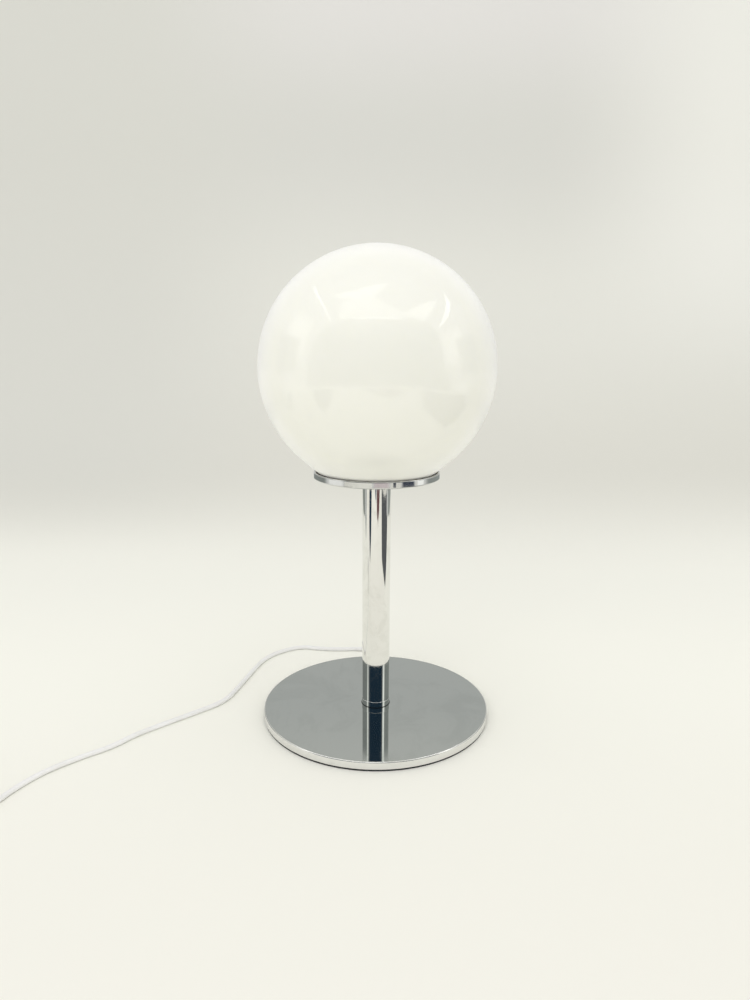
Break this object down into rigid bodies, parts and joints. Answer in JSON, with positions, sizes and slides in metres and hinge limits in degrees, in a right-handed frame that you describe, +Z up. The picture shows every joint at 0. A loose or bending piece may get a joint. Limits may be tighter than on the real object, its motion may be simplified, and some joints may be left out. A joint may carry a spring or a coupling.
{
  "type": "table lamp",
  "caption": "Table lamp: an opal glass globe in a shallow chrome dish on a slim chrome stem and a round weighted base, with a switched mains cord.",
  "frame": {"origin": "centre of the round base's underside, on the surface that the lamp stands on", "axes": "+Z up along the stem, -Y towards the front as pictured, +X to the right; the cord leaves towards +Y"},
  "size_m": [0.7146, 0.426, 0.5167],
  "materials": {
    "pad_rubber": "matt black",
    "chrome": "polished chrome plate",
    "cast_iron": "rough, dark",
    "zinc_steel": "zinc plated",
    "white_plastic": "soft moulded, white",
    "gasket_rubber": "matt, dark",
    "holder_plastic": "white, satin",
    "holder_ceramic": "unglazed, white",
    "brass": "plain",
    "cord_plastic": "round white sheath, satin",
    "live_plastic": "brown insulation",
    "neutral_plastic": "blue insulation",
    "opal_glass": "polished opal, warm white",
    "tinned_steel": "tinned",
    "black_glaze": "black glass insulator",
    "nickel_brass": "nickel plated, satin",
    "bulb_plastic": "white",
    "plate_aluminium": "plain",
    "diffuser_plastic": "frosted white",
    "tie_plastic": "pale grey band",
    "switch_plastic": "white, satin",
    "rocker_plastic": "white, gloss",
    "plug_plastic": "soft moulded, white",
    "sleeve_plastic": "white pin insulation"
  },
  "bodies": {
    "stand": {"base_pad": "pad_rubber", "base_cover": "chrome", "base_weight": "cast_iron", "foot_screws": "zinc_steel", "cord_bushing": "white_plastic", "stem_foot": "chrome", "stem_tube": "chrome", "stem_head": "zinc_steel", "nipple": "zinc_steel", "dish": "chrome", "dish_gasket": "gasket_rubber", "dish_washer": "zinc_steel", "dish_nut": "zinc_steel", "holder_cap": "holder_plastic", "holder_shell": "holder_plastic", "holder_core": "holder_ceramic", "socket_thread": "brass", "socket_contact": "brass", "terminal_screws": "brass", "inner_cord": "cord_plastic", "live_wire": "live_plastic", "neutral_wire": "neutral_plastic", "cord_run": "cord_plastic", "cord_link": "cord_plastic", "cord_coil": "cord_plastic", "cord_tail": "cord_plastic", "coil_tie": "tie_plastic", "switch_base": "switch_plastic", "switch_top": "switch_plastic", "switch_contacts": "brass", "switch_screws": "zinc_steel", "plug_relief": "plug_plastic", "plug_body": "plug_plastic", "plug_pins": "nickel_brass", "pin_sleeves": "sleeve_plastic"},
    "globe": {"glass_globe": "opal_glass"},
    "bulb_foot": {"bulb_contact": "tinned_steel", "bulb_insulator": "black_glaze"},
    "bulb": {"bulb_cap": "nickel_brass", "bulb_housing": "bulb_plastic", "bulb_plate": "plate_aluminium", "bulb_dome": "diffuser_plastic"},
    "rocker": {"switch_rocker": "rocker_plastic"}
  },
  "joints": [
    {"name": "globe_lift", "type": "slide", "parent": "stand", "child": "globe", "axis": [0, 0, 1], "range_m": [0, 0.17]},
    {"name": "bulb_rise", "type": "slide", "parent": "stand", "child": "bulb_foot", "axis": [0, 0, 1], "range_m": [0, 0.02541]},
    {"name": "bulb_turn", "type": "hinge", "parent": "bulb_foot", "child": "bulb", "pos_m": [0, 0, 0.3182], "axis": [0, 0, 1], "range_deg": [0, 2520]},
    {"name": "rocker_tilt", "type": "hinge", "parent": "stand", "child": "rocker", "pos_m": [-0.47, -0.237, 0.0142], "axis": [0, -1, 0], "range_deg": [0, 16]}
  ],
  "couplings": [
    {"joint": "bulb_rise", "follows": "bulb_turn", "m_per_rad": 0.00057757}
  ]
}
